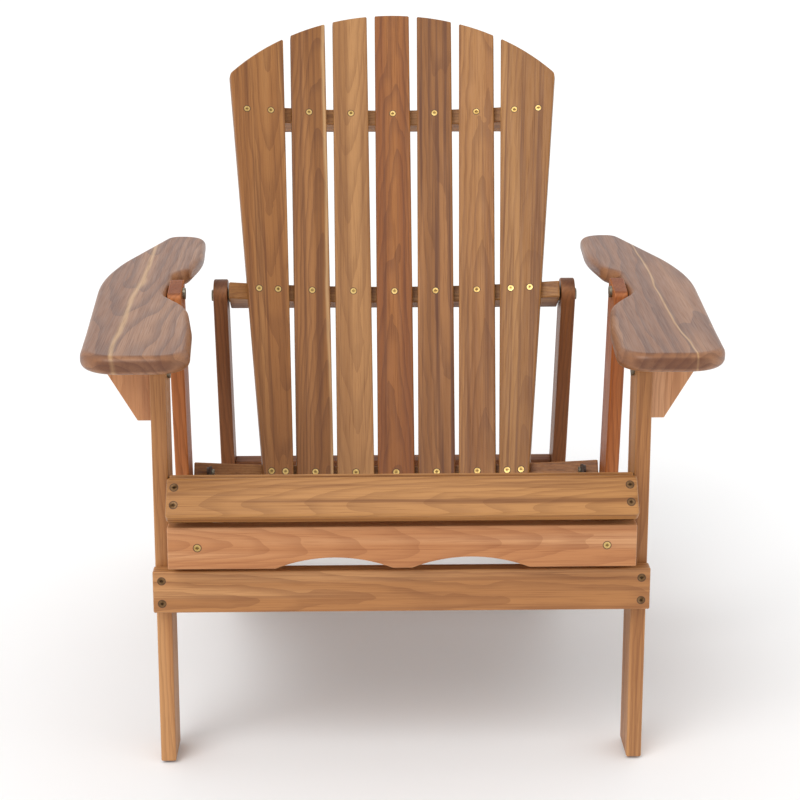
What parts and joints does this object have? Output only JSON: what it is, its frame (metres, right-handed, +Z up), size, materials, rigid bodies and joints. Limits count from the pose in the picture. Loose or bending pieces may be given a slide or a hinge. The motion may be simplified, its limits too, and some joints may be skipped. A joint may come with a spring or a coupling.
{
  "type": "folding wooden adirondack chair",
  "caption": "Folding wooden garden armchair: fanned, reclined slat back, sloping slatted seat, broad flat arms on posts, and front legs that fold beneath the seat.",
  "frame": {"origin": "middle of the chair's footprint box, on the ground", "axes": "+X to the sitter's left, -Y to the front, +Z up"},
  "size_m": [0.7772, 0.9, 0.8657],
  "materials": {
    "frame_wood": "oiled acacia boards",
    "back_wood": "oiled acacia slats",
    "arm_wood": "oiled acacia, sanded round",
    "brass_screws": "yellow zinc",
    "bronze_screws": "dull bronze zinc",
    "bolts": "zinc plated",
    "hinge_steel": "dark powder coat",
    "glides": "moulded"
  },
  "bodies": {
    "seat_frame": {"apron": "frame_wood", "apron_cleat_left": "frame_wood", "apron_cleat_right": "frame_wood", "apron_screws": "brass_screws", "hinge_lug_left": "hinge_steel", "hinge_lug_right": "hinge_steel", "hinge_pin_left": "bolts", "hinge_pin_right": "bolts", "nose_screws": "bronze_screws", "nose_slat": "frame_wood", "rail_glides": "glides", "rear_stretcher": "frame_wood", "seat_screws": "bronze_screws", "seat_slat_1": "frame_wood", "seat_slat_2": "frame_wood", "seat_slat_3": "frame_wood", "seat_slat_4": "frame_wood", "seat_slat_5": "frame_wood", "seat_slat_6": "frame_wood", "side_rail_left": "frame_wood", "side_rail_right": "frame_wood"},
    "front_frame": {"crossbar_screws": "bronze_screws", "front_crossbar": "frame_wood", "front_leg_left": "frame_wood", "front_leg_right": "frame_wood", "leg_glides": "glides", "leg_pivot_bolt_left": "bolts", "leg_pivot_bolt_right": "bolts"},
    "arm_left_body": {"arm_bracket_left": "frame_wood", "arm_left": "arm_wood", "arm_pivot_bolt_left": "bolts"},
    "arm_right_body": {"arm_bracket_right": "frame_wood", "arm_pivot_bolt_right": "bolts", "arm_right": "arm_wood"},
    "post_left_body": {"arm_post_left": "frame_wood", "post_foot_bolt_left": "bolts", "post_top_bolt_left": "bolts"},
    "post_right_body": {"arm_post_right": "frame_wood", "post_foot_bolt_right": "bolts", "post_top_bolt_right": "bolts"},
    "back": {"back_slat_1": "back_wood", "back_slat_2": "back_wood", "back_slat_3": "back_wood", "back_slat_4": "back_wood", "back_slat_5": "back_wood", "back_slat_6": "back_wood", "back_slat_7": "back_wood", "hinge_leaf_left": "hinge_steel", "hinge_leaf_right": "hinge_steel", "lower_batten": "frame_wood", "lower_batten_screws": "brass_screws", "middle_batten": "frame_wood", "middle_batten_screws": "brass_screws", "prop_bolt_left": "bolts", "prop_bolt_right": "bolts", "top_batten": "frame_wood", "top_batten_screws": "brass_screws"},
    "prop": {"prop_left": "frame_wood", "prop_right": "frame_wood", "prop_tie": "frame_wood"}
  },
  "joints": [
    {"name": "leg_fold", "type": "hinge", "parent": "seat_frame", "child": "front_frame", "pos_m": [0, -0.286, 0.278], "axis": [1, 0, 0], "range_deg": [0, 62]},
    {"name": "back_fold", "type": "hinge", "parent": "seat_frame", "child": "back", "pos_m": [0, -0.009, 0.275], "axis": [1, 0, 0], "range_deg": [0, 101]},
    {"name": "prop_fold", "type": "hinge", "parent": "back", "child": "prop", "pos_m": [0, 0.16572, 0.48491], "axis": [1, 0, 0], "range_deg": [-36, 0]},
    {"name": "arm_left_turn", "type": "hinge", "parent": "front_frame", "child": "arm_left_body", "pos_m": [0, -0.293, 0.494], "axis": [1, 0, 0], "range_deg": [-64, 0]},
    {"name": "post_left_turn", "type": "hinge", "parent": "seat_frame", "child": "post_left_body", "pos_m": [0, -0.02, 0.232], "axis": [1, 0, 0], "range_deg": [0, 43]},
    {"name": "arm_right_turn", "type": "hinge", "parent": "front_frame", "child": "arm_right_body", "pos_m": [0, -0.293, 0.494], "axis": [1, 0, 0], "range_deg": [-64, 0]},
    {"name": "post_right_turn", "type": "hinge", "parent": "seat_frame", "child": "post_right_body", "pos_m": [0, -0.02, 0.232], "axis": [1, 0, 0], "range_deg": [0, 43]}
  ],
  "couplings": [
    {"joint": "prop_fold", "follows": "back_fold", "ratio": -0.337},
    {"joint": "arm_left_turn", "follows": "leg_fold", "ratio": -1.0019},
    {"joint": "post_left_turn", "follows": "leg_fold", "ratio": 0.6773},
    {"joint": "arm_right_turn", "follows": "leg_fold", "ratio": -1.0019},
    {"joint": "post_right_turn", "follows": "leg_fold", "ratio": 0.6773}
  ]
}
